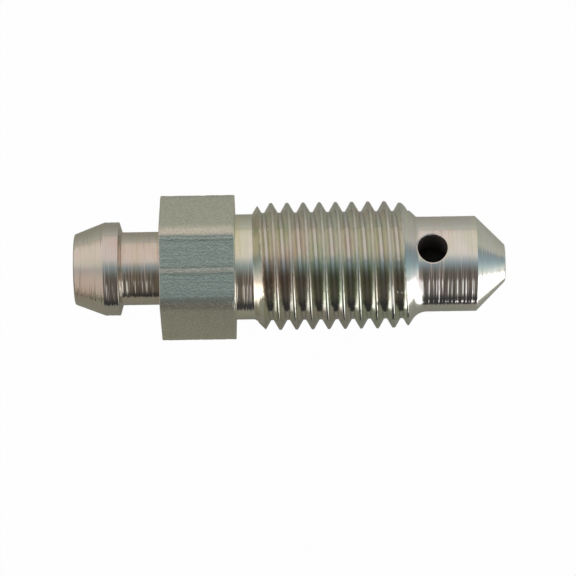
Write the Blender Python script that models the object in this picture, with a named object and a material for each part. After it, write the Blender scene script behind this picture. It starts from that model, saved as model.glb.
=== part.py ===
"""Brake bleeder screw, turned in one piece from hexagon bar.

It lies along X: hose nipple at the -X end, seat cone at the +X end.
The origin is the centre of the flat tip face, and one flat of the hexagon looks up (+Z).
"""

import math

import bmesh
import bpy

MM = 0.001

# Hose nipple
NIPPLE_END_DIAMETER = 4.34 * MM
NIPPLE_EDGE_BREAK = 0.14 * MM
BARB_DIAMETER = 5.77 * MM
BARB_CONE_LENGTH = 1.87 * MM
BARB_LAND_LENGTH = 0.91 * MM
BARB_BACK_LENGTH = 0.18 * MM
NECK_DIAMETER = 4.52 * MM
NECK_LENGTH = 2.38 * MM

# Hexagon, its corners turned down and broken at the thread end
HEX_ACROSS_FLATS = 8.0 * MM
HEX_CORNER_DIAMETER = 8.95 * MM
HEX_LENGTH = 4.58 * MM
HEX_EDGE_BREAK = 0.06 * MM

# External thread, right-hand, with the plain relief between it and the hexagon
THREAD_MAJOR_DIAMETER = 7.88 * MM
THREAD_PITCH = 1.0 * MM
THREAD_DEPTH_PER_PITCH = 0.6134
THREAD_CREST_PER_PITCH = 0.125
THREAD_FLANK_ANGLE = math.radians(30)
THREAD_LENGTH = 9.5 * MM
THREAD_CREST_FROM_TIP = 13.4 * MM
RELIEF_LENGTH = 1.17 * MM
RELIEF_UNDER_ROOT = 0.07 * MM
LEAD_IN_ANGLE = math.radians(45)
LAST_TURN_LENGTH = 1.25 * MM
LAST_TURN_DROP = 0.175 * MM
END_FACE_ANGLE = math.radians(57)
END_FILLET_RADIUS = 0.32 * MM

# Plain end with the seat cone
TIP_CYLINDER_DIAMETER = 5.88 * MM
TIP_CYLINDER_LENGTH = 3.63 * MM
TIP_FACE_DIAMETER = 2.28 * MM
SEAT_HALF_ANGLE = math.radians(45)

# Drilled passage
BORE_DIAMETER = 2.0 * MM
BORE_POINT_HALF_ANGLE = math.radians(59)
BORE_PAST_CROSS_HOLE = 1.1 * MM
CROSS_HOLE_DIAMETER = 1.78 * MM
CROSS_HOLE_FROM_TIP = 4.55 * MM
CROSS_HOLE_TURN = math.radians(19.8)

# Faceting
TURN_SEGMENTS = 60
BORE_SEGMENTS = 32
FILLET_STEPS = 4
CORNER_STEPS = 3

# Room around the cutters, so that no two faces lie on one another
CUTTER_ROOM = 1.0 * MM
CREST_ROOM = 0.05 * MM
END_ROOM = 0.05 * MM
MERGE_DISTANCE = 0.0001 * MM

SHARP_ANGLE = math.radians(25)
PLATING_COLOUR = (0.58, 0.54, 0.42, 1.0)
PLATING_ROUGHNESS = 0.3


def clear_scene():
    for item in list(bpy.data.objects):
        bpy.data.objects.remove(item, do_unlink=True)


def on_circle(x, radius, angle):
    """A point at this station; the angle runs from +Y over +Z."""
    return (x, radius * math.cos(angle), radius * math.sin(angle))


def mesh_object(name, points, faces):
    mesh = bpy.data.meshes.new(name)
    mesh.from_pydata(points, [], faces)
    shape = bmesh.new()
    shape.from_mesh(mesh)
    bmesh.ops.recalc_face_normals(shape, faces=shape.faces)
    bmesh.ops.triangulate(shape, faces=shape.faces)
    shape.to_mesh(mesh)
    shape.free()
    made = bpy.data.objects.new(name, mesh)
    bpy.context.scene.collection.objects.link(made)
    return made


def turned(name, profile, segments, first_angle=0.0):
    """A solid of revolution about X; the profile starts and ends on the axis."""
    points = [(profile[0][0], 0.0, 0.0), (profile[-1][0], 0.0, 0.0)]
    rings = []
    for x, radius in profile[1:-1]:
        rings.append(range(len(points), len(points) + segments))
        for step in range(segments):
            angle = first_angle + 2 * math.pi * step / segments
            points.append(on_circle(x, radius, angle))
    faces = []
    for step in range(segments):
        after = (step + 1) % segments
        faces.append((0, rings[0][step], rings[0][after]))
        faces.append((1, rings[-1][after], rings[-1][step]))
        for near, far in zip(rings, rings[1:]):
            faces.append((near[step], far[step], far[after], near[after]))
    return mesh_object(name, points, faces)


def lofted(name, rings):
    """A solid through rings that all have the same number of points."""
    points = [point for ring in rings for point in ring]
    count = len(rings[0])
    faces = [tuple(range(count)), tuple(range(len(points) - count, len(points)))]
    for row in range(len(rings) - 1):
        for step in range(count):
            near = row * count + step
            near_after = row * count + (step + 1) % count
            faces.append((near, near + count, near_after + count, near_after))
    return mesh_object(name, points, faces)


def hexagon_ring(x, corner_radius):
    """The hexagon at one station, each corner an arc of this radius."""
    apothem = HEX_ACROSS_FLATS / 2
    half_arc = math.radians(30) - math.acos(apothem / corner_radius)
    ring = []
    for corner in range(6):
        middle = math.radians(60 * corner)
        for step in range(CORNER_STEPS + 1):
            turn = half_arc * (2 * step / CORNER_STEPS - 1)
            ring.append(on_circle(x, corner_radius, middle + turn))
    return ring


def fillet_points(corner_x, cylinder_radius):
    """The hollow arc from the thread's end face down to the plain end."""
    reach = END_FILLET_RADIUS * math.tan(END_FACE_ANGLE / 2)
    centre_x = corner_x + reach
    centre_radius = cylinder_radius + END_FILLET_RADIUS
    arc = []
    for step in range(FILLET_STEPS + 1):
        turn = END_FACE_ANGLE * (1 - step / FILLET_STEPS)
        x = centre_x - END_FILLET_RADIUS * math.sin(turn)
        arc.append((x, centre_radius - END_FILLET_RADIUS * math.cos(turn)))
    return arc


def threaded_rod(near_x, first_station, last_station, far_x):
    """A rod of the root's diameter with one helical ridge between two stations."""
    half_crest = THREAD_PITCH * THREAD_CREST_PER_PITCH / 2
    half_base = half_crest + root_depth * math.tan(THREAD_FLANK_ANGLE)
    ridge = (
        (-half_base, root_radius),
        (-half_crest, major_radius),
        (half_crest, major_radius),
        (half_base, root_radius),
    )
    # Steps are counted from the crest that lies on +Y at THREAD_CREST_FROM_TIP.
    step_length = THREAD_PITCH / TURN_SEGMENTS
    reach_back = first_station + THREAD_CREST_FROM_TIP + half_base
    reach_on = last_station + THREAD_CREST_FROM_TIP + half_base
    first_step = math.ceil(reach_back / step_length)
    last_step = max(math.ceil(reach_on / step_length), first_step + 2 * TURN_SEGMENTS)
    count = last_step - first_step
    points = []
    for step in range(first_step, last_step + 1):
        middle = step * step_length - THREAD_CREST_FROM_TIP
        for offset, radius in ridge:
            angle = 2 * math.pi * step / TURN_SEGMENTS
            points.append(on_circle(middle + offset, radius, angle))
    near_ring = len(points)
    far_ring = near_ring + TURN_SEGMENTS
    for x in (near_x, far_x):
        for step in range(first_step, first_step + TURN_SEGMENTS):
            angle = 2 * math.pi * step / TURN_SEGMENTS
            points.append(on_circle(x, root_radius, angle))

    def at(step, corner):
        return step * len(ridge) + corner

    def near(step):
        return near_ring + step % TURN_SEGMENTS

    def far(step):
        return far_ring + step % TURN_SEGMENTS

    faces = []
    for step in range(count):
        for corner in range(3):
            here = (at(step, corner), at(step, corner + 1))
            faces.append(here + (at(step + 1, corner + 1), at(step + 1, corner)))
    for step in range(count - TURN_SEGMENTS):
        turn_on = step + TURN_SEGMENTS
        faces.append((at(step, 3), at(turn_on, 0), at(turn_on + 1, 0), at(step + 1, 3)))
    # The plain rod before and after the ridge; one face at each end passes the ridge's end.
    last = TURN_SEGMENTS - 1
    for step in range(last):
        faces.append((near(step), at(step, 0), at(step + 1, 0), near(step + 1)))
    closing = (near(last), at(last, 0), at(last + 1, 0), at(0, 3), at(0, 0))
    faces.append(closing + (near(last + 1),))
    start = count - TURN_SEGMENTS
    opening = (at(start, 3), at(count, 0), at(count, 3), far(start), far(start + 1))
    faces.append(opening + (at(start + 1, 3),))
    for step in range(start + 1, count):
        faces.append((at(step, 3), far(step), far(step + 1), at(step + 1, 3)))
    faces.append(tuple(at(0, corner) for corner in range(4)))
    faces.append(tuple(at(count, corner) for corner in range(4)))
    faces.append(tuple(near(step) for step in range(TURN_SEGMENTS)))
    faces.append(tuple(far(step) for step in range(TURN_SEGMENTS)))
    return mesh_object("threaded_rod", points, faces)


def merge_slivers(mesh):
    """Takes out the points and faces that are too small to see."""
    shape = bmesh.new()
    shape.from_mesh(mesh)
    bmesh.ops.remove_doubles(shape, verts=shape.verts, dist=MERGE_DISTANCE)
    bmesh.ops.dissolve_degenerate(shape, edges=shape.edges, dist=MERGE_DISTANCE)
    shape.to_mesh(mesh)
    shape.free()


def boolean(body, other, operation):
    """Joins or cuts with the exact solver, then removes the helper."""
    modifier = body.modifiers.new(other.name, "BOOLEAN")
    modifier.operation = operation
    modifier.solver = "EXACT"
    modifier.object = other
    graph = bpy.context.evaluated_depsgraph_get()
    result = bpy.data.meshes.new_from_object(body.evaluated_get(graph))
    body.modifiers.clear()
    body.data = result
    merge_slivers(result)
    bpy.data.objects.remove(other, do_unlink=True)


def plated_steel():
    material = bpy.data.materials.new("zinc_plated_steel")
    material.use_nodes = True
    surface = material.node_tree.nodes["Principled BSDF"]
    surface.inputs["Base Color"].default_value = PLATING_COLOUR
    surface.inputs["Metallic"].default_value = 1.0
    surface.inputs["Roughness"].default_value = PLATING_ROUGHNESS
    return material


clear_scene()

nipple_radius = NIPPLE_END_DIAMETER / 2
barb_radius = BARB_DIAMETER / 2
neck_radius = NECK_DIAMETER / 2
corner_radius = HEX_CORNER_DIAMETER / 2
major_radius = THREAD_MAJOR_DIAMETER / 2
root_depth = THREAD_PITCH * THREAD_DEPTH_PER_PITCH
root_radius = major_radius - root_depth
relief_radius = root_radius - RELIEF_UNDER_ROOT
land_end_radius = major_radius - LAST_TURN_DROP
tip_radius = TIP_CYLINDER_DIAMETER / 2
tip_face_radius = TIP_FACE_DIAMETER / 2

# Stations along X, counted back from the tip face.
cone_start = (tip_face_radius - tip_radius) / math.tan(SEAT_HALF_ANGLE)
tip_cylinder_start = cone_start - TIP_CYLINDER_LENGTH
land_end = tip_cylinder_start - (land_end_radius - tip_radius) / math.tan(END_FACE_ANGLE)
thread_start = land_end - THREAD_LENGTH
hex_end = thread_start - RELIEF_LENGTH
hex_start = hex_end - HEX_LENGTH
hex_middle = (hex_start + hex_end) / 2
neck_start = hex_start - NECK_LENGTH
barb_end = neck_start - BARB_BACK_LENGTH
barb_start = barb_end - BARB_LAND_LENGTH
nipple_end = barb_start - BARB_CONE_LENGTH

# The threaded half: a ridged rod, turned down to the relief, lead-in, plain end and cone.
screw = threaded_rod(
    hex_middle,
    hex_end + END_ROOM,
    tip_cylinder_start + END_ROOM,
    CUTTER_ROOM / 2,
)
screw.name = "bleeder_screw"
clear_radius = major_radius + CREST_ROOM
lead_in_length = (clear_radius - relief_radius) / math.tan(LEAD_IN_ANGLE)
last_turn_slope = LAST_TURN_DROP / LAST_TURN_LENGTH
land_start = land_end - (clear_radius - land_end_radius) / last_turn_slope
envelope = [(0.0, 0.0), (0.0, tip_face_radius), (cone_start, tip_radius)]
envelope += reversed(fillet_points(tip_cylinder_start, tip_radius))
envelope += [
    (land_end, land_end_radius),
    (land_start, clear_radius),
    (thread_start + lead_in_length, clear_radius),
    (thread_start, relief_radius),
    (hex_middle - CUTTER_ROOM, relief_radius),
    (hex_middle - CUTTER_ROOM, clear_radius + CUTTER_ROOM),
    (CUTTER_ROOM, clear_radius + CUTTER_ROOM),
    (CUTTER_ROOM, 0.0),
]
half_step = math.pi / TURN_SEGMENTS
turned_away = turned("turned_away", envelope, TURN_SEGMENTS, half_step)
boolean(screw, turned_away, "DIFFERENCE")

nipple_profile = [
    (nipple_end, 0.0),
    (nipple_end, nipple_radius - NIPPLE_EDGE_BREAK),
    (nipple_end + NIPPLE_EDGE_BREAK, nipple_radius + NIPPLE_EDGE_BREAK / 2),
    (barb_start, barb_radius),
    (barb_end, barb_radius),
    (neck_start, neck_radius),
    (hex_middle + HEX_LENGTH / 4, neck_radius),
    (hex_middle + HEX_LENGTH / 4, 0.0),
]
boolean(screw, turned("nipple", nipple_profile, TURN_SEGMENTS, half_step), "UNION")

hexagon = lofted(
    "hexagon",
    [
        hexagon_ring(hex_start, corner_radius),
        hexagon_ring(hex_end - HEX_EDGE_BREAK, corner_radius),
        hexagon_ring(hex_end, corner_radius - HEX_EDGE_BREAK),
    ],
)
boolean(screw, hexagon, "UNION")

bore_radius = BORE_DIAMETER / 2
bore_end = BORE_PAST_CROSS_HOLE - CROSS_HOLE_FROM_TIP
bore_profile = [
    (nipple_end - CUTTER_ROOM, 0.0),
    (nipple_end - CUTTER_ROOM, bore_radius),
    (bore_end, bore_radius),
    (bore_end + bore_radius / math.tan(BORE_POINT_HALF_ANGLE), 0.0),
]
boolean(screw, turned("bore", bore_profile, BORE_SEGMENTS), "DIFFERENCE")

# The cross hole is drilled from +Z, turned a little towards +Y, as far as the bore.
cross_radius = CROSS_HOLE_DIAMETER / 2
cross_reach = tip_radius + CUTTER_ROOM
cross_profile = [
    (0.0, 0.0),
    (0.0, cross_radius),
    (cross_reach, cross_radius),
    (cross_reach, 0.0),
]
cross_hole = turned("cross_hole", cross_profile, BORE_SEGMENTS)
leaning = math.sin(CROSS_HOLE_TURN)
upward = math.cos(CROSS_HOLE_TURN)
for vertex in cross_hole.data.vertices:
    out, along, side = vertex.co
    vertex.co = (
        along - CROSS_HOLE_FROM_TIP,
        out * leaning + side * upward,
        out * upward - side * leaning,
    )
boolean(screw, cross_hole, "DIFFERENCE")

screw.data.name = "bleeder_screw"
screw.data.materials.clear()
screw.data.materials.append(plated_steel())
screw.data.shade_smooth()
screw.data.set_sharp_from_angle(angle=SHARP_ANGLE)
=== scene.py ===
# Brake bleeder screw on a pale floor, seen from straight above.
# The screw lies along X with its hose nipple at -X. One flat of the hexagon looks up.

import math

import bmesh
import bpy
import numpy as np
from mathutils import Matrix, Quaternion, Vector


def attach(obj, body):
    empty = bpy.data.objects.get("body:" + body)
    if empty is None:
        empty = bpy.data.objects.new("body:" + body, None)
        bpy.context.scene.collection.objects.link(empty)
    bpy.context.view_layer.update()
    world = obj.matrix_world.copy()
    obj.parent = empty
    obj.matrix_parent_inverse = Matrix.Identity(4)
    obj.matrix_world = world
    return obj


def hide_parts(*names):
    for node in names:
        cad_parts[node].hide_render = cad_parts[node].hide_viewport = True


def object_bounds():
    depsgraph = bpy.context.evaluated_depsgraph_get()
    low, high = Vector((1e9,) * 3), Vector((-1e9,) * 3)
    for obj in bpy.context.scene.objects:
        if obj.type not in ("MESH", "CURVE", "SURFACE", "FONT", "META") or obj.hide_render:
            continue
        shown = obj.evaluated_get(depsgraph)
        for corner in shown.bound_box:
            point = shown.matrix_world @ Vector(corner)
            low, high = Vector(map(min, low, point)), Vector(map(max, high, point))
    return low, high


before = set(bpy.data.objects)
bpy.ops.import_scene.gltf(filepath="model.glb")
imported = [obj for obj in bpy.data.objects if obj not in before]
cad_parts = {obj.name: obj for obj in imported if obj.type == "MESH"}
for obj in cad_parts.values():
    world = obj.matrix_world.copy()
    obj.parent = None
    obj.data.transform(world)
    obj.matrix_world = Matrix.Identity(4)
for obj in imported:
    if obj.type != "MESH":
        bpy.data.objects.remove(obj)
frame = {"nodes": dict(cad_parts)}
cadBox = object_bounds()
mm = 0.001

print("Frame loaded:", ", ".join(frame["nodes"]))


def linearColour(hexCode):
    # sRGB hex such as "#b5b0a3" to the linear colour that Blender's sockets take
    parts = [int(hexCode[i : i + 2], 16) / 255 for i in (1, 3, 5)]
    return [p / 12.92 if p <= 0.04045 else ((p + 0.055) / 1.055) ** 2.4 for p in parts] + [1.0]


def addNode(tree, kind, settings=None, inputs=None):
    # settings are the node's own properties, inputs are values or sockets by socket name or number
    node = tree.nodes.new(kind)
    for name, value in (settings or {}).items():
        setattr(node, name, value)
    for name, value in (inputs or {}).items():
        if isinstance(value, bpy.types.NodeSocket):
            tree.links.new(value, node.inputs[name])
        else:
            node.inputs[name].default_value = value
    return node


def newMaterial(name, metallic, roughness):
    material = bpy.data.materials.new(name)
    material.use_nodes = True
    shader = material.node_tree.nodes["Principled BSDF"]
    shader.inputs["Metallic"].default_value = metallic
    shader.inputs["Roughness"].default_value = roughness
    return material, material.node_tree, shader


def addObject(name, data):
    thing = bpy.data.objects.new(name, data)
    bpy.context.scene.collection.objects.link(thing)
    return thing


def setStops(ramp, colours):
    # colours are sRGB hex or shares of white, by place on the ramp, in rising order
    stops = ramp.color_ramp.elements
    stops.remove(stops[1])
    for number, (place, colour) in enumerate(colours.items()):
        stop = stops.new(place) if number else stops[0]
        if number == 0:
            stop.position = place
        stop.color = linearColour(colour) if isinstance(colour, str) else (colour, colour, colour, 1)


# The screw, one solid of steel. Sizes are in mm and match the solid in the frame.
screw = {
    "nippleEnd": 4.34,  # diameter of the end face
    "nippleEdge": 0.16,  # rounding of its edge
    "barb": 5.77,
    "barbCone": 1.87,  # length
    "barbLand": 0.91,
    "barbBack": 0.18,  # length of the leaning back face
    "neck": 4.52,
    "neckLength": 2.38,
    "acrossFlats": 8.0,
    "corners": 8.946,  # across the rounded corners
    "cornerWear": 0.012,  # how far the corners are roughly worn down
    "hexLength": 4.58,
    "hexEdge": 0.06,  # rounding of the flats' ends
    "major": 7.88,
    "pitch": 1.0,
    "threadDepth": 0.6134,
    "flankAngle": 30,
    "crestWidth": 0.125,
    "crestRounding": (0.03, 0.055),  # towards the nipple and towards the tip
    "crestWear": 0.006,  # how ragged the crests are
    "threadLength": 9.5,
    "crestFromTip": 13.4,  # a crest on the +Y side
    "relief": 1.17,  # length of the plain part beside the hexagon
    "reliefUnderRoot": 0.07,
    "lastTurn": 1.25,  # length over which the crests get lower
    "lastTurnDrop": 0.175,
    "leadAngle": {0: 58, 0.5: 39, 0.8: 39, 1: 45},  # thread's first chamfer, from the +Y to the -Y side
    "leadShift": 0.1,  # how much earlier it starts on the +Y side
    "endFaceAngle": (44, 57),  # thread's end face, on the +Y and on the -Y side
    "endFillet": (0.15, 1.05),  # fillet behind it, on the +Y and on the -Y side
    "plainEnd": 5.88,
    "plainLength": 3.63,
    "tipFace": 2.28,
    "bore": 2.0,
    "boreMouth": 0.06,  # chamfer at the nipple
    "boreAngle": 59,  # half of the drill's point
    "borePastHole": 1.1,
    "crossHole": 1.78,
    "crossHoleFromTip": 4.55,
    "crossHoleTurn": 19.8,  # degrees from straight up towards +Y
    "holeEdge": 0.11,  # deburred rim
    "columns": 180,  # mesh columns round the screw, six equal parts for the hexagon
    "boreSteps": 8,
    "hexSteps": 32,
    "holeSteps": 96,
    "sharpAngle": 21,  # degrees, edges from this on are drawn sharp
}

# Places of the materials on the screw's mesh
turned, drawn, drilled, threaded, fineTurned = range(5)

# Turning marks in the metal: how far the tool's track wanders, in mm
toolTrack = {
    "step": 0.07,  # distance between tracks
    "fine": 0.0030,  # usual depth
    "deep": 0.0110,  # depth of the few that stand out
    "deepShare": 0.2,
    "seed": 12,
}


def arcBetween(before, corner, after, rounding, steps):
    # points of a fillet arc at a corner, all as (x, r)
    corner = Vector(corner)
    toBefore = (Vector(before) - corner).normalized()
    toAfter = (Vector(after) - corner).normalized()
    half = toBefore.angle(toAfter) / 2
    reach = rounding / math.tan(half)
    centre = corner + (toBefore + toAfter).normalized() * rounding / math.sin(half)
    start = corner + toBefore * reach - centre
    turn = math.pi - 2 * half
    if start.x * toBefore.y - start.y * toBefore.x > 0:
        turn = -turn
    points = []
    for k in range(steps + 1):
        c, s = math.cos(turn * k / steps), math.sin(turn * k / steps)
        points.append(centre + Vector((c * start.x - s * start.y, s * start.x + c * start.y)))
    return points


def turnedPath(corners, random):
    # corners are (x, r, rounding, depth of marks on the run after it), in mm.
    # The runs between them get stations one tool step apart that wander off the true line.
    path = [Vector(corners[0][:2])]
    for k in range(1, len(corners)):
        x, r, rounding, _ = corners[k]
        if k + 1 < len(corners) and rounding > 0:
            steps = 5 if rounding < 0.2 else 10  # more on wide fillets
            nextBend = arcBetween(corners[k - 1][:2], (x, r), corners[k + 1][:2], rounding, steps)
        else:
            nextBend = [Vector((x, r))]
        start, end = path[-1], nextBend[0]
        length = (end - start).length
        marks = corners[k - 1][3]
        count = max(1, round(length / toolTrack["step"])) if marks else 1
        normal = Vector((0, 1))
        if length > 1e-6:
            normal = Vector((start.y - end.y, end.x - start.x)).normalized()
        for n in range(1, count):
            deep = random.random() < toolTrack["deepShare"]
            wander = random.normal() * (toolTrack["deep"] if deep else toolTrack["fine"]) * marks
            path.append(start.lerp(end, n / count) - normal * abs(wander))
        path.extend(nextBend)
    return path


def softStep(t, slope, width):
    # 0 for t < 0 and slope * t above, with a parabola of that half width over the corner
    inner = slope * (t + width) ** 2 / (4 * width)
    return np.where(t < -width, 0.0, np.where(t > width, slope * t, inner))


def buildScrewMesh():
    random = np.random.default_rng(toolTrack["seed"])
    s = screw
    columns = s["columns"]
    major, pitch = s["major"] / 2, s["pitch"]
    root = major - s["threadDepth"] * pitch
    relief = root - s["reliefUnderRoot"]
    plain, tip, bore, mouth = s["plainEnd"] / 2, s["tipFace"] / 2, s["bore"] / 2, s["boreMouth"]
    neck, barb, nipple = s["neck"] / 2, s["barb"] / 2, s["nippleEnd"] / 2
    flat, corner = s["acrossFlats"] / 2, s["corners"] / 2
    landRadius = major - s["lastTurnDrop"]

    # stations along the screw, from the tip back to the nipple
    coneStart = -(plain - tip)
    plainStart = coneStart - s["plainLength"]
    landEnd = plainStart - (landRadius - plain) / math.tan(math.radians(s["endFaceAngle"][1]))
    threadStart = landEnd - s["threadLength"]
    hexEnd = threadStart - s["relief"]
    hexStart = hexEnd - s["hexLength"]
    neckStart = hexStart - s["neckLength"]
    barbEnd = neckStart - s["barbBack"]
    barbStart = barbEnd - s["barbLand"]
    nippleEnd = barbStart - s["barbCone"]
    holeX = -s["crossHoleFromTip"]
    boreEnd = holeX + s["borePastHole"]
    borePoint = boreEnd + bore / math.tan(math.radians(s["boreAngle"]))

    angles = np.arange(columns) * 2 * math.pi / columns  # from +Y over +Z
    points = []  # x, y, z in mm
    faces = []
    kinds = []  # material of each face

    def addRing(x, r):
        # x and r are one value for the whole ring or one for each column
        x, r = np.broadcast_to(x, columns), np.broadcast_to(r, columns)
        first = len(points)
        points.extend(zip(x, r * np.cos(angles), r * np.sin(angles)))
        return list(range(first, first + columns))

    def joinRings(a, b, kind):
        for j in range(columns):
            n = (j + 1) % columns
            faces.append((a[j], b[j], b[n], a[n]))
            kinds.append(kind)

    def capRing(ring, x, kind, looksOut):
        points.append((x, 0.0, 0.0))
        centre = len(points) - 1
        for j in range(columns):
            n = (j + 1) % columns
            faces.append((ring[j], centre, ring[n]) if looksOut else (centre, ring[j], ring[n]))
            kinds.append(kind)

    # drilled bore, from its point out to the nipple's mouth
    boreRings = [addRing(borePoint - (borePoint - boreEnd) * k, bore * k) for k in (0.5, 1.0)]
    for k in range(1, s["boreSteps"] + 1):
        boreRings.append(addRing(boreEnd + (nippleEnd + mouth - boreEnd) * k / s["boreSteps"], bore))
    capRing(boreRings[0], borePoint, drilled, False)
    for a, b in zip(boreRings, boreRings[1:]):
        joinRings(a, b, drilled)

    # nipple, barb and neck, up to the hexagon's turned face
    edge = s["hexEdge"]
    faceRadius = flat - edge - 0.12  # the faces stop short of the hexagon's rounded edge
    front = turnedPath(
        [
            (nippleEnd + mouth, bore, 0, 0),
            (nippleEnd, bore + mouth, 0.02, 0.5),
            (nippleEnd, nipple, s["nippleEdge"], 0.4),
            (barbStart, barb, 0.12, 0.6),
            (barbEnd, barb, 0.05, 0),
            (neckStart, neck, 0.05, 0.65),
            (hexStart, neck, 0.10, 0.4),
            (hexStart, faceRadius, 0, 0),
        ],
        random,
    )
    rings = [boreRings[-1]] + [addRing(p.x, p.y) for p in front[1:]]
    for a, b in zip(rings, rings[1:]):
        joinRings(a, b, turned)

    # hexagon: flats joined by rounded corners that reach out to the corner diameter
    fromFlat = (np.degrees(angles) % 60) - 30
    bend = (2 * flat / math.sqrt(3) - corner) / (2 / math.sqrt(3) - 1)
    bendCentre = (flat - bend) * 2 / math.sqrt(3)
    bendFrom = math.degrees(math.atan((flat - bend) / math.sqrt(3) / flat))
    toCorner = np.radians(30 - np.abs(fromFlat))
    onBend = np.abs(fromFlat) > bendFrom
    bendRadius = bendCentre * np.cos(toCorner) + np.sqrt(bend**2 - (bendCentre * np.sin(toCorner)) ** 2)
    hexRadius = np.where(onBend, bendRadius, flat / np.cos(np.radians(fromFlat)))

    def hexRing(x, drop):
        worn = np.abs(random.normal(size=columns)) * np.where(onBend, s["cornerWear"], 0.0)
        return addRing(x, hexRadius - drop - worn)

    edgeSteps = 5
    edgeTurns = [math.radians(90 * k / edgeSteps) for k in range(edgeSteps + 1)]
    edgeArc = [(edge * (1 - math.cos(turn)), edge * (1 - math.sin(turn))) for turn in edgeTurns]
    hexStations = [(hexStart + x, drop) for x, drop in edgeArc]
    for k in range(1, s["hexSteps"]):
        hexStations.append((hexStart + edge + (s["hexLength"] - 2 * edge) * k / s["hexSteps"], 0.0))
    hexStations += [(hexEnd - x, drop) for x, drop in reversed(edgeArc)]
    previous = rings[-1]
    for k, (x, drop) in enumerate(hexStations):
        ring = hexRing(x, drop)
        onEdge = k < edgeSteps or k > len(hexStations) - edgeSteps
        joinRings(previous, ring, turned if onEdge else drawn)
        previous = ring

    # chamfer at the thread's start, and end face with its fillet: both change round the screw
    share = (1 - np.cos(angles)) / 2  # 0 on the +Y side, 1 on the -Y side
    leadAngle = np.radians(np.interp(share, list(s["leadAngle"]), list(s["leadAngle"].values())))
    leadStart = threadStart - s["leadShift"] * (1 - share)
    endAngle = np.radians(s["endFaceAngle"][0] + (s["endFaceAngle"][1] - s["endFaceAngle"][0]) * share**3)
    fillet = s["endFillet"][0] + (s["endFillet"][1] - s["endFillet"][0]) * share

    def threadOutline(x):
        leadRadius = relief + np.maximum(x - leadStart, 0) * np.tan(leadAngle)
        fromCentre = plainStart + fillet * np.tan(endAngle / 2) - x
        onArc = np.clip(fromCentre, 0, fillet * np.sin(endAngle))
        onFace = np.maximum(fromCentre - fillet * np.sin(endAngle), 0)
        endRadius = plain + fillet - np.sqrt(fillet**2 - onArc**2) + onFace * np.tan(endAngle)
        crown = np.interp(x, (landEnd - s["lastTurn"], landEnd), (major, landRadius))
        return np.minimum(np.minimum(leadRadius, endRadius), crown)

    # thread end of the hexagon, relief, and the turned outline that the thread is cut into
    envelope = turnedPath(
        [
            (hexEnd, faceRadius, 0, 0.15),
            (hexEnd, relief, 0.08, 0.8),
            (threadStart - s["leadShift"] - 0.05, relief, 0, 0),
        ],
        random,
    )
    for p in envelope:
        ring = addRing(p.x, p.y)
        joinRings(previous, ring, turned)
        previous = ring

    # thread: samples that follow the helix, with the turned outline's own stations between them
    flankSlope = math.tan(math.radians(s["flankAngle"]))
    crestHalf = s["crestWidth"] / 2 * pitch
    rootStart = crestHalf + s["threadDepth"] * pitch * flankSlope
    onFlank = crestHalf + 0.17  # half-way down the flank
    offsets = [-rootStart, -onFlank, 0.0, onFlank, rootStart]  # samples of one turn, from its crest
    for sign, soft in zip((-1, 1), s["crestRounding"]):
        offsets += [sign * (crestHalf + min(soft, crestHalf) * k) for k in (-1, -0.5)]
        offsets += [sign * (crestHalf + soft * k) for k in (0, 0.5, 1, 1.3)]
    offsets.sort()
    filletEnd = plainStart + s["endFillet"][1] * math.tan(endAngle[columns // 2] / 2)
    # stations lie closest at the lead-in and over the end face and fillet
    stations = np.concatenate(
        [
            np.linspace(envelope[-1].x, threadStart + 0.8, 24),
            np.linspace(threadStart + 1.2, landEnd - 0.6, 24),
            np.linspace(landEnd - 0.5, filletEnd, 40),
        ]
    )
    outlines = np.array([threadOutline(x) for x in stations])
    # from this station on the outline lies under the thread's root all round
    runOut = next(k for k, x in enumerate(stations) if x > landEnd and np.max(outlines[k]) < root) + 1
    zoneX, zoneR = stations[:runOut], outlines[:runOut]
    xFrom, xTo = zoneX[0], zoneX[-1]
    crestOnY = -s["crestFromTip"]
    turnsBack = math.ceil((crestOnY - xFrom) / pitch) + 1
    turnsOn = math.ceil((xTo - crestOnY) / pitch) + 1
    # wear of the crests, one value for each column of each turn, smoothed along the helix
    ragged = random.normal(size=(turnsBack + turnsOn + 2) * columns)
    ragged = (ragged + np.roll(ragged, 1) + 0.5 * np.roll(ragged, 2)) / 1.5

    def grooveRadius(u):
        # u is the distance from the nearest crest along the screw
        soft = np.where(u < 0, *s["crestRounding"])
        drop = softStep(np.abs(u) - crestHalf, 1 / flankSlope, soft)
        return np.maximum(major - drop, root)

    gap = 0.012  # mm, samples nearer to each other would make slivers

    def threadColumn(j):
        # samples of one column as (x, name), sorted by x
        found = [(x, ("ring", k)) for k, x in enumerate(zoneX)]
        for turn in range(-turnsBack, turnsOn + 1):
            crest = crestOnY + pitch * (turn + j / columns)
            for k, offset in enumerate(offsets):
                x = crest + offset
                if xFrom + gap < x < xTo - gap and np.min(np.abs(zoneX - x)) > gap:
                    found.append((x, ("helix", turn, k)))
        return sorted(found)

    firstRing, lastRing = previous, addRing(zoneX[-1], zoneR[-1])
    columnSamples = [threadColumn(j) for j in range(columns + 1)]
    columnPoints = []
    for j in range(columns):
        indices = []
        for x, name in columnSamples[j]:
            if name == ("ring", 0):
                indices.append(firstRing[j])
            elif name == ("ring", len(zoneX) - 1):
                indices.append(lastRing[j])
            else:
                u = (x - crestOnY - pitch * j / columns + pitch / 2) % pitch - pitch / 2
                radius = float(grooveRadius(np.array(u)))
                turn = round((x - crestOnY - pitch * j / columns - u) / pitch)
                if abs(u) < crestHalf:
                    radius -= s["crestWear"] * abs(ragged[(turn + turnsBack) * columns + j])
                radius = min(radius, float(threadOutline(x)[j]))
                points.append((x, radius * math.cos(angles[j]), radius * math.sin(angles[j])))
                indices.append(len(points) - 1)
        columnPoints.append(indices)
    columnPoints.append(columnPoints[0])
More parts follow.
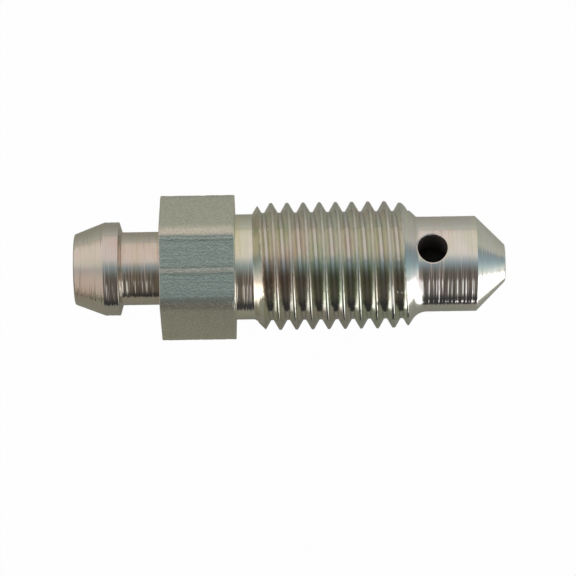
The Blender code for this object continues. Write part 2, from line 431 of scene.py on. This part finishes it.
    # neighbouring columns are joined sample by sample: quads between samples of one name, else triangles
    leadEnd = threadStart + 0.3  # up to here the lead-in is finely turned
    for j in range(columns):
        near, far = columnSamples[j], columnSamples[j + 1]
        nearPoints, farPoints = columnPoints[j], columnPoints[j + 1]
        a = b = 0
        while a + 1 < len(near) or b + 1 < len(far):
            canA, canB = a + 1 < len(near), b + 1 < len(far)
            if canA and canB and near[a + 1][1] == far[b + 1][1]:
                faces.append((nearPoints[a], nearPoints[a + 1], farPoints[b + 1], farPoints[b]))
                a, b = a + 1, b + 1
            elif canA and (not canB or near[a + 1][0] < far[b + 1][0]):
                faces.append((nearPoints[a], nearPoints[a + 1], farPoints[b]))
                a += 1
            else:
                faces.append((nearPoints[a], farPoints[b + 1], farPoints[b]))
                b += 1
            kinds.append(threaded if leadEnd <= near[a][0] <= landEnd else fineTurned)

    # fillet, plain end, seat cone and tip face
    back = turnedPath(
        [
            (filletEnd, plain, 0, 1.0),
            (coneStart, plain, 0.05, 0.25),
            (0.0, tip, 0.12, 0.4),
            (0.0, tip * 0.25, 0, 0),  # marks stop here, the rest of the face is a fan
        ],
        random,
    )
    previous = lastRing  # the fillet and the seat cone are finely turned, the plain end isn't
    for x, r in list(zip(stations[runOut:], outlines[runOut:])) + [(p.x, p.y) for p in back[1:]]:
        ring = addRing(x, r)
        joinRings(previous, ring, fineTurned if x <= filletEnd or x > coneStart + 0.02 else turned)
        previous = ring
    capRing(previous, 0.0, turned, True)

    mesh = bpy.data.meshes.new("bleeder_screw_finished")
    mesh.from_pydata([Vector(p) * mm for p in points], [], faces)
    mesh.polygons.foreach_set("material_index", kinds)
    mesh.update()
    return mesh, Vector((holeX, 0, 0)), plain, bore


def crossHoleCutter(centre, plain, bore):
    # a plug with a flared top that follows the round surface, so the rim is deburred evenly
    radius, rim = screw["crossHole"] / 2, screw["holeEdge"]
    steps = screw["holeSteps"]
    bm = bmesh.new()
    rows = []
    # how much wider than the hole each row is and how far above the surface; the first is in the bore
    for grow, lift in ((0, None), (0, -rim), (rim * 0.3, -rim * 0.45), (rim, 0.0), (rim * 1.2, 1.5)):
        row = []
        for k in range(steps):
            turn = 2 * math.pi * k / steps
            x, y = (radius + grow) * math.cos(turn), (radius + grow) * math.sin(turn)
            z = bore * 0.2 if lift is None else math.sqrt(plain**2 - y**2) + lift
            row.append(bm.verts.new(Vector((x, y, z)) * mm))
        rows.append(row)
    for lower, upper in zip(rows, rows[1:]):
        for k in range(steps):
            n = (k + 1) % steps
            wall = bm.faces.new((lower[k], lower[n], upper[n], upper[k]))
            wall.material_index = drilled if lower is rows[0] else turned
    bm.faces.new(list(reversed(rows[0])))
    bm.faces.new(rows[-1])
    mesh = bpy.data.meshes.new("cross_hole_cutter")
    bm.to_mesh(mesh)
    bm.free()
    turn = Matrix.Rotation(-math.radians(screw["crossHoleTurn"]), 4, "X")
    mesh.transform(Matrix.Translation(centre * mm) @ turn)
    return mesh


# Zinc-plated steel under a thin yellowish passivate: pale warm grey with faint pink and green tints
plating = {
    "reach": 27,  # mm from the tip that the next two ramps cover
    "turned": {  # by distance from the tip in mm
        0: "#eeeee9",
        1.8: "#eeeee9",
        2.2: "#e9e7e3",
        6: "#e9e7e3",
        15.5: "#eae8e1",
        15.9: "#ebe8db",
        17: "#ebe8db",
        21: "#dcd6cc",
        23.5: "#dcd6cc",
        23.8: "#dbd5d0",
        24.6: "#dbd5d0",
        25: "#dcd8cd",
    },
    "threaded": {0: "#e8eae2", 10: "#e8eae2", 15: "#e9e8de"},
    # painted shade that darkens the thread's roots and crests
    "paintedGrooveShade": {  # from root to crest, over the threaded colours
        0: "#e1e1e1",
        0.05: "#e1e1e1",
        0.12: "#ffffff",
        0.6: "#ffffff",
        0.8: "#e8e8e8",
        1: "#e3e3e3",
    },
    "patches": {0.3: "#f3faf1", 0.5: "#ffffff", 0.7: "#fff4f6"},  # green to pink, over the colours above
    "patchSize": 2.6,  # mm
    "straw": "#f6ecc8",
    "strawAmount": {"From Min": 0.5, "From Max": 0.8, "To Max": 0.5},
    "strawWidth": 0.25,  # mm
    "markSpacing": 0.15,  # mm, tool marks, drawn about twice as coarse as the real ones to show
    "markRun": 0.08,  # the lower, the longer a mark runs round the screw
    # depth of the marks in mm and roughness
    "turnedMarks": (0.05, 0.14),
    "threadMarks": (0.006, 0.14),
    "fineMarks": (0.006, 0.17),
}


def turnedSteel(name, tints, marks, helical):
    # turned, zinc plated: fine rings round the axis that break highlights into short bars
    markDepth, roughness = marks
    material, tree, shader = newMaterial(name, 1.0, roughness)
    place = addNode(tree, "ShaderNodeTexCoord").outputs["Object"]
    axes = addNode(tree, "ShaderNodeSeparateXYZ", None, {0: place}).outputs
    around = addNode(
        tree, "ShaderNodeMath", {"operation": "ARCTAN2"}, {0: axes["Z"], 1: axes["Y"]}
    ).outputs[0]
    along = axes["X"]
    if helical:
        # the marks follow the helix
        lead = -screw["pitch"] * mm / (2 * math.pi)
        along = addNode(
            tree, "ShaderNodeMath", {"operation": "MULTIPLY_ADD"}, {0: around, 1: lead, 2: along}
        ).outputs[0]
    alongMm = addNode(tree, "ShaderNodeMath", {"operation": "DIVIDE"}, {0: along, 1: mm}).outputs[0]
    # marks run round the axis, so the angle stretches the pattern over several mm
    marksPlace = addNode(tree, "ShaderNodeCombineXYZ", None, {0: alongMm, 1: around}).outputs[0]
    stretch = addNode(
        tree,
        "ShaderNodeVectorMath",
        {"operation": "MULTIPLY"},
        {0: marksPlace, 1: (1.0, plating["markRun"], 1.0)},
    ).outputs[0]
    pattern = addNode(
        tree,
        "ShaderNodeTexNoise",
        None,
        {"Vector": stretch, "Scale": 1 / plating["markSpacing"], "Detail": 1.0, "Roughness": 0.5},
    ).outputs[0]
    bump = addNode(
        tree, "ShaderNodeBump", None, {"Strength": 1.0, "Distance": markDepth * mm, "Height": pattern}
    )
    # tint of the passivate: its run along the screw, slow patches and straw streaks over it
    reach = plating["reach"]
    fromTip = addNode(
        tree, "ShaderNodeMapRange", None, {"Value": axes["X"], "From Max": -reach * mm}
    ).outputs[0]
    tint = addNode(tree, "ShaderNodeValToRGB", None, {0: fromTip})
    setStops(tint, {distance / reach: colour for distance, colour in tints.items()})
    tint = tint.outputs[0]
    if helical:
        # painted shade: root and crest are greyer than the flanks
        fromAxis = addNode(tree, "ShaderNodeCombineXYZ", None, {"Y": axes["Y"], "Z": axes["Z"]}).outputs[0]
        radius = addNode(
            tree, "ShaderNodeVectorMath", {"operation": "LENGTH"}, {0: fromAxis}
        ).outputs["Value"]
        crest = screw["major"] / 2 * mm
        root = crest - screw["threadDepth"] * screw["pitch"] * mm
        height = addNode(
            tree, "ShaderNodeMapRange", None, {"Value": radius, "From Min": root, "From Max": crest}
        ).outputs[0]
        paintedGrooveShade = addNode(tree, "ShaderNodeValToRGB", None, {0: height})
        setStops(paintedGrooveShade, plating["paintedGrooveShade"])
        tint = addNode(
            tree,
            "ShaderNodeMix",
            {"data_type": "RGBA", "blend_type": "MULTIPLY"},
            {"Factor": 1.0, "A": tint, "B": paintedGrooveShade.outputs[0]},
        ).outputs["Result"]
    patches = addNode(
        tree,
        "ShaderNodeTexNoise",
        None,
        {"Vector": place, "Scale": 1 / (plating["patchSize"] * mm), "Detail": 2.0},
    ).outputs[0]
    patchTint = addNode(tree, "ShaderNodeValToRGB", None, {0: patches})
    setStops(patchTint, plating["patches"])
    streaks = addNode(
        tree,
        "ShaderNodeTexNoise",
        None,
        {"Vector": stretch, "Scale": 1 / plating["strawWidth"], "Detail": 3.0},
    ).outputs[0]
    strawShare = addNode(
        tree, "ShaderNodeMapRange", None, {"Value": streaks, **plating["strawAmount"]}
    ).outputs[0]
    overlay = addNode(
        tree,
        "ShaderNodeMix",
        {"data_type": "RGBA"},
        {"Factor": strawShare, "A": patchTint.outputs[0], "B": linearColour(plating["straw"])},
    ).outputs["Result"]
    colour = addNode(
        tree,
        "ShaderNodeMix",
        {"data_type": "RGBA", "blend_type": "MULTIPLY"},
        {"Factor": 1.0, "A": tint, "B": overlay},
    )
    tree.links.new(colour.outputs["Result"], shader.inputs["Base Color"])
    tree.links.new(bump.outputs[0], shader.inputs["Normal"])
    return material


# Cold-drawn hexagon: colour by the angle round the screw, in degrees from +Y over +Z, which paints light
# and shade: each flat's tone follows the way it faces, and the lines along the upper flat are lines that
# the drawing die left, partly painted crevice shade; then the grain of the drawn skin
drawnSkin = {
    "paintedLightByAngle": {
        0: "#dcdfd2",
        56: "#dcdfd2",
        61: "#d6d5c9",
        63: "#d2d2c7",
        64.4: "#8f9c95",
        66: "#c4d1ca",
        67.5: "#9daaa3",
        69: "#bfcdc5",
        89.5: "#bfcdc5",
        90.5: "#87938b",
        91.4: "#d8dccf",
        94.4: "#d3d8cb",
        95.3: "#94a098",
        96.6: "#b9c8c1",
        113: "#b7c6c0",
        114.3: "#ccd8d2",
        115.6: "#b3c0ba",
        118: "#b5bfb7",
        121: "#c0c4b8",
        124: "#e2e1d2",
        200: "#e2e1d2",
        340: "#dcdfd2",
    },
    "roughness": 0.38,
    "waver": 0.006,  # how far the lines waver, as a share of one turn
    "waverLength": 0.35,  # mm
    "grain": 0.11,  # mm, drawn coarser than the real grain to show
    "grainDepth": 0.022,  # mm
    "grainTone": {"From Min": 0.3, "From Max": 0.7, "To Min": 0.82, "To Max": 1.12},
    "lineSpacing": 0.16,  # mm, fine lines along the flats
    "lineRun": 0.05,  # the lower, the longer a line runs along the screw
    "lineDepth": 0.01,  # mm
}


def drawnSteel():
    # cold-drawn flats, zinc plated: satin, greyer and greener than the turned metal, with fine grain; their
    # tone by angle is painted light and shade
    material, tree, shader = newMaterial("zinc_plated_drawn_steel", 1.0, drawnSkin["roughness"])
    place = addNode(tree, "ShaderNodeTexCoord").outputs["Object"]
    axes = addNode(tree, "ShaderNodeSeparateXYZ", None, {0: place}).outputs
    around = addNode(
        tree, "ShaderNodeMath", {"operation": "ARCTAN2"}, {0: axes["Z"], 1: axes["Y"]}
    ).outputs[0]
    turn = addNode(tree, "ShaderNodeMath", {"operation": "DIVIDE"}, {0: around, 1: 2 * math.pi}).outputs[0]
    share = addNode(tree, "ShaderNodeMath", {"operation": "FRACT"}, {0: turn}).outputs[0]
    # the lines waver a little along the screw
    waver = addNode(
        tree,
        "ShaderNodeTexNoise",
        None,
        {"Vector": place, "Scale": 1 / (drawnSkin["waverLength"] * mm), "Detail": 3.0},
    ).outputs[0]
    share = addNode(
        tree, "ShaderNodeMath", {"operation": "MULTIPLY_ADD"}, {0: waver, 1: drawnSkin["waver"], 2: share}
    ).outputs[0]
    share = addNode(
        tree, "ShaderNodeMath", {"operation": "SUBTRACT"}, {0: share, 1: drawnSkin["waver"] / 2}
    ).outputs[0]
    # painted light and shade: each flat's tone by the way it faces, and die lines partly darkened as
    # crevice shade
    paintedLightTone = addNode(tree, "ShaderNodeValToRGB", None, {0: share})
    setStops(paintedLightTone, {angle / 360: colour for angle, colour in drawnSkin["paintedLightByAngle"].items()})
    grain = addNode(
        tree,
        "ShaderNodeTexNoise",
        None,
        {"Vector": place, "Scale": 1 / (drawnSkin["grain"] * mm), "Detail": 2.0},
    ).outputs[0]
    grainTone = addNode(
        tree, "ShaderNodeMapRange", None, {"Value": grain, **drawnSkin["grainTone"]}
    ).outputs[0]
    colour = addNode(
        tree, "ShaderNodeVectorMath", {"operation": "SCALE"}, {0: paintedLightTone.outputs[0], "Scale": grainTone}
    ).outputs[0]
    tree.links.new(colour, shader.inputs["Base Color"])
    stretch = addNode(
        tree,
        "ShaderNodeVectorMath",
        {"operation": "MULTIPLY"},
        {0: place, 1: (drawnSkin["lineRun"], 1.0, 1.0)},
    ).outputs[0]
    lines = addNode(
        tree,
        "ShaderNodeTexNoise",
        None,
        {"Vector": stretch, "Scale": 1 / (drawnSkin["lineSpacing"] * mm), "Detail": 1.0},
    ).outputs[0]
    lineBump = addNode(
        tree,
        "ShaderNodeBump",
        None,
        {"Strength": 1.0, "Distance": drawnSkin["lineDepth"] * mm, "Height": lines},
    ).outputs[0]
    bump = addNode(
        tree,
        "ShaderNodeBump",
        None,
        {"Strength": 1.0, "Distance": drawnSkin["grainDepth"] * mm, "Height": grain, "Normal": lineBump},
    ).outputs[0]
    tree.links.new(bump, shader.inputs["Normal"])
    return material


def drilledSteel():
    # drilled bore: dark and dull, partly as steel that the plating hardly reaches and partly as painted
    # shade that keeps the hole black
    material, _, shader = newMaterial("drilled_steel_bore_painted_shade", 0.1, 0.6)
    shader.inputs["Base Color"].default_value = linearColour("#66625d")
    return material


def buildScrew():
    mesh, holeCentre, plain, bore = buildScrewMesh()
    # in the order of turned, drawn, drilled, threaded, fineTurned
    for material in (
        turnedSteel("zinc_plated_turned_steel", plating["turned"], plating["turnedMarks"], False),
        drawnSteel(),
        drilledSteel(),
        turnedSteel("zinc_plated_threaded_steel", plating["threaded"], plating["threadMarks"], True),
        turnedSteel("zinc_plated_fine_turned_steel", plating["turned"], plating["fineMarks"], False),
    ):
        mesh.materials.append(material)
    piece = addObject("screw_finished", mesh)

    # the cross hole is cut once and the result kept as the piece's mesh
    cutterMesh = crossHoleCutter(holeCentre, plain, bore)
    for material in mesh.materials:
        cutterMesh.materials.append(material)
    cutter = addObject("cross_hole_cutter", cutterMesh)
    cut = piece.modifiers.new("cross hole", "BOOLEAN")
    cut.operation = "DIFFERENCE"
    cut.object = cutter
    graph = bpy.context.evaluated_depsgraph_get()
    finished = bpy.data.meshes.new_from_object(piece.evaluated_get(graph))
    piece.modifiers.clear()
    piece.data = finished
    bpy.data.meshes.remove(mesh)
    bpy.data.objects.remove(cutter)
    bpy.data.meshes.remove(cutterMesh)
    finished.name = "screw_finished"

    finished.shade_smooth()
    finished.set_sharp_from_angle(angle=math.radians(screw["sharpAngle"]))
    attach(piece, "root")
    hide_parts("bleeder_screw")
    finished.calc_loop_triangles()
    print("Screw ready:", len(finished.loop_triangles), "triangles")


# Pale sheet that the screw lies on
floorSheet = {
    "colour": "#c3c6ba",
    "reach": 110,  # mm from the screw's axis to the far edge
    "nearEdge": {-110: -170, -13: -27, -3: -19.5, 2: -13.5, 46: -12},  # y by x from the middle, in mm
    "drop": 0.02,  # mm, a hair under the hexagon's lowest flat
    "white": 0.985,  # how white the camera sees it
    # painted reflection: white that only the metal sees, darker near the screw and towards -Y
    "paintedReflectionWhite": {-10: 0.0, 4: 0.06, 12: 0.16, 40: 0.32},  # by distance from the axis towards +Y, in mm
    "whiteSpan": (-10, 50),  # mm, distances that this covers
    "tipSlant": 0.8,  # how much a mm towards the tip adds to that distance
    "slantFrom": -3,  # mm, where along the screw this starts
}


def buildFloor():
    middle = (cadBox[0].x + cadBox[1].x) / 2
    corners = list(floorSheet["nearEdge"].items())
    corners += [(corners[-1][0], floorSheet["reach"]), (corners[0][0], floorSheet["reach"])]
    mesh = bpy.data.meshes.new("floor")
    mesh.from_pydata([(middle + x * mm, y * mm, 0) for x, y in corners], [], [range(len(corners))])
    floor = addObject("floor", mesh)
    floor.location.z = cadBox[0].z - floorSheet["drop"] * mm
    # uncoated card: quite matt, so it only takes the screw's soft shadow
    material, tree, shader = newMaterial("pale_card", 0.0, 0.9)
    shader.inputs["Base Color"].default_value = linearColour(floorSheet["colour"])
    shader.inputs["Specular IOR Level"].default_value = 0.0
    rays = addNode(tree, "ShaderNodeLightPath").outputs
    mirrored = addNode(
        tree,
        "ShaderNodeMath",
        {"operation": "ADD"},
        {0: rays["Is Glossy Ray"], 1: rays["Is Transmission Ray"]},
    ).outputs[0]
    seen = addNode(
        tree,
        "ShaderNodeMath",
        {"operation": "MULTIPLY"},
        {0: rays["Is Camera Ray"], 1: floorSheet["white"]},
    ).outputs[0]
    # painted reflection and shade: the metal sees the sheet whiter the further it lies towards +Y and
    # towards the tip
    place = addNode(tree, "ShaderNodeTexCoord").outputs["Object"]
    axes = addNode(tree, "ShaderNodeSeparateXYZ", None, {0: place}).outputs
    start = floorSheet["slantFrom"] * mm
    beyond = addNode(tree, "ShaderNodeMath", {"operation": "MAXIMUM"}, {0: axes["X"], 1: start}).outputs[0]
    beyond = addNode(tree, "ShaderNodeMath", {"operation": "ADD"}, {0: beyond, 1: -start}).outputs[0]
    far = addNode(
        tree,
        "ShaderNodeMath",
        {"operation": "MULTIPLY_ADD"},
        {0: beyond, 1: floorSheet["tipSlant"], 2: axes["Y"]},
    ).outputs[0]
    low, high = floorSheet["whiteSpan"]
    farShare = addNode(
        tree, "ShaderNodeMapRange", None, {"Value": far, "From Min": low * mm, "From Max": high * mm}
    ).outputs[0]
    glow = addNode(tree, "ShaderNodeValToRGB", None, {0: farShare})
    whites = floorSheet["paintedReflectionWhite"].items()
    setStops(glow, {(distance - low) / (high - low): white for distance, white in whites})
    share = addNode(
        tree, "ShaderNodeMath", {"operation": "MULTIPLY_ADD"}, {0: mirrored, 1: glow.outputs[0], 2: seen}
    ).outputs[0]
    white = addNode(tree, "ShaderNodeEmission", None, {"Color": (1, 1, 1, 1), "Strength": 1.0}).outputs[0]
    mixed = addNode(
        tree, "ShaderNodeMixShader", None, {0: share, 1: shader.outputs[0], 2: white}
    ).outputs[0]
    tree.links.new(mixed, tree.nodes["Material Output"].inputs["Surface"])
    mesh.materials.append(material)
    print("Floor ready")


# Soft studio. Across the screw the room is pale on the +Y side and dim on the -Y side; towards the screw's
# two ends the -Y side is paler. The first three ramps go by degrees from straight up, towards +Y.
studio = {
    "across": {
        -90: "#403e3e",
        -84: "#464341",
        -76: "#56524d",
        -62: "#5d5751",
        -40: "#5a544d",
        -24: "#5a5653",
        -12: "#6d7372",
        0: "#8f9ca3",
        7: "#a3aeb4",
        14: "#c0c3c5",
        22: "#dfdad7",
        32: "#e9dfda",
        70: "#e4d9d2",
        84: "#dcd3ca",
        90: "#d2c9bf",
    },
    "nippleSide": {
        -90: "#6f6862",
        -60: "#868079",
        -20: "#868079",
        0: "#a2a9aa",
        20: "#d6cec8",
        70: "#dbd0c9",
        90: "#c8c0b6",
    },
    "tipSide": {
        -90: "#8f8881",
        -84: "#bdb7b0",
        -78: "#ffffff",
        -46: "#ffffff",
        -38: "#948e87",
        -20: "#868079",
        0: "#82959b",
        20: "#d6cec8",
        70: "#dbd0c9",
        90: "#c8c0b6",
    },
    # where each part of the room begins and is full, by the share of the direction that lies along X
    "nippleFrom": 0.03,
    "nippleFull": 0.45,
    "tipFrom": 0.09,
    "tipFull": 0.35,
    "belowTipFrom": 0.25,
    "belowTipFull": 0.5,
    # by the share of the direction along Y: walls beyond the two ends, and what lies below the sheet
    "nippleEnd": {
        -0.9: "#a39b8c",
        -0.73: "#c8bab0",
        -0.5: "#cfc1b9",
        -0.3: "#cbbeb6",
        -0.04: "#bfb8b9",
        0.2: "#ded6d0",
        0.46: "#e8dcd6",
        0.77: "#e8dcd6",
        0.84: "#d2c6bb",
        0.9: "#b9ae9f",
    },
    "nippleEndFrom": 0.32,
    "nippleEndFull": 0.52,
    "tipEnd": {
        -0.27: "#ffffff",
        -0.12: "#bfcfd2",
        0: "#9bb0b8",
        0.12: "#8a9da8",
        0.24: "#859198",
        0.35: "#a2a4a4",
        0.43: "#b8b5ad",
        0.55: "#cfc9c2",
    },
    "tipEndFrom": 0.72,
    "tipEndFull": 0.88,
    "below": {-0.5: "#3a3a3c", -0.15: "#6f8994", 0.3: "#7f99a6", 0.6: "#b9b1a8"},
    "belowTip": {-0.4: "#ffffff", -0.15: "#6f8994", 0.3: "#7f99a6", 0.6: "#b9b1a8"},
    "backdrop": 0.988,  # white behind the sheet, the same as the camera sees on it
}

# Lamps that only the metal and the floor see: place in mm from the screw's middle, direction it faces, turn
# about that line in degrees, width and height in mm, brightness against white
lamps = {
    "strip_tip_side": {
        "place": (71, -64, 6),
        "faces": (-71, 64, -6),
        "turn": 0,
        "size": (68, 36),
        "white": 1.2,
    },
    "card_tip_side": {
        "place": (27.2, -15.6, -1.6),
        "faces": (-0.15, 0, 0.99),
        "turn": 12,
        "size": (20, 26),
        "white": 1.35,
    },
}


def buildLight():
    world = bpy.data.worlds.new("soft_studio")
    world.use_nodes = True
    bpy.context.scene.world = world
    tree = world.node_tree
    direction = addNode(tree, "ShaderNodeTexCoord").outputs["Generated"]
    axes = addNode(tree, "ShaderNodeSeparateXYZ", None, {0: direction}).outputs
    tilt = addNode(
        tree, "ShaderNodeMath", {"operation": "ARCTAN2"}, {0: axes["Y"], 1: axes["Z"]}
    ).outputs[0]
    quarter = math.pi / 2
    across = addNode(
        tree, "ShaderNodeMapRange", None, {"Value": tilt, "From Min": -quarter, "From Max": quarter}
    ).outputs[0]
    ramps = {}
    for side in ("across", "nippleSide", "tipSide"):
        ramps[side] = addNode(tree, "ShaderNodeValToRGB", None, {0: across})
        setStops(ramps[side], {(angle + 90) / 180: colour for angle, colour in studio[side].items()})
    towardsNipple = addNode(
        tree, "ShaderNodeMath", {"operation": "MULTIPLY"}, {0: axes["X"], 1: -1}
    ).outputs[0]
    sideways = addNode(tree, "ShaderNodeMapRange", None, {"Value": axes["Y"], "From Min": -1}).outputs[0]
    for side in ("nippleEnd", "tipEnd", "below", "belowTip"):
        ramps[side] = addNode(tree, "ShaderNodeValToRGB", None, {0: sideways})
        setStops(ramps[side], {(share + 1) / 2: colour for share, colour in studio[side].items()})

    def mixIn(under, side, along, start, full):
        # brings in one part of the room as the direction turns along the screw
        amount = addNode(
            tree,
            "ShaderNodeMapRange",
            {"interpolation_type": "SMOOTHSTEP"},
            {"Value": along, "From Min": studio[start], "From Max": studio[full]},
        ).outputs[0]
        return addNode(
            tree,
            "ShaderNodeMix",
            {"data_type": "RGBA"},
            {"Factor": amount, "A": under, "B": ramps[side].outputs[0]},
        ).outputs["Result"]

    above = mixIn(ramps["across"].outputs[0], "tipSide", axes["X"], "tipFrom", "tipFull")
    above = mixIn(above, "nippleSide", towardsNipple, "nippleFrom", "nippleFull")
    above = mixIn(above, "nippleEnd", towardsNipple, "nippleEndFrom", "nippleEndFull")
    below = mixIn(ramps["below"].outputs[0], "belowTip", axes["X"], "belowTipFrom", "belowTipFull")
    isBelow = addNode(tree, "ShaderNodeMath", {"operation": "LESS_THAN"}, {0: axes["Z"], 1: 0.0}).outputs[0]
    seen = addNode(
        tree, "ShaderNodeMix", {"data_type": "RGBA"}, {"Factor": isBelow, "A": above, "B": below}
    ).outputs["Result"]
    seen = mixIn(seen, "tipEnd", axes["X"], "tipEndFrom", "tipEndFull")
    isCamera = addNode(tree, "ShaderNodeLightPath").outputs["Is Camera Ray"]
    backdrop = (studio["backdrop"],) * 3 + (1,)
    seen = addNode(
        tree, "ShaderNodeMix", {"data_type": "RGBA"}, {"Factor": isCamera, "A": seen, "B": backdrop}
    ).outputs["Result"]
    tree.links.new(seen, tree.nodes["Background"].inputs["Color"])

    middle = (cadBox[0] + cadBox[1]) / 2
    for name, lamp in lamps.items():
        data = bpy.data.lights.new(name, "AREA")
        data.shape = "RECTANGLE"
        data.size, data.size_y = (side * mm for side in lamp["size"])
        data.energy = lamp["white"] * math.pi * data.size * data.size_y
        holder = addObject(name, data)
        holder.location = middle + Vector(lamp["place"]) * mm
        holder.rotation_mode = "QUATERNION"
        turn = Quaternion((0, 0, 1), math.radians(lamp["turn"]))
        holder.rotation_quaternion = Vector(lamp["faces"]).to_track_quat("-Z", "Y") @ turn
        holder.visible_camera = False
    print("Light ready:", len(lamps), "lamps and the room")


# Camera straight above, turned a little so that the screw's axis rises to the right
shot = {
    "place": (-13.41, -1.346, 185.0),  # mm
    "turn": -0.896,  # degrees
    "pixelsPerMm": 16.16,
    "frameWidth": 576,  # pixels
}


def buildCamera():
    data = bpy.data.cameras.new("camera")
    data.sensor_width = 36.0
    data.lens = data.sensor_width * shot["place"][2] * shot["pixelsPerMm"] / shot["frameWidth"]
    data.clip_start = 0.01
    data.clip_end = 10.0
    camera = addObject("camera", data)
    camera.location = Vector(shot["place"]) * mm
    camera.rotation_euler = (0, 0, math.radians(shot["turn"]))
    bpy.context.scene.camera = camera
    print("Camera ready")


buildCamera()
buildScrew()
buildFloor()
buildLight()
bpy.context.scene.view_settings.view_transform = "Standard"
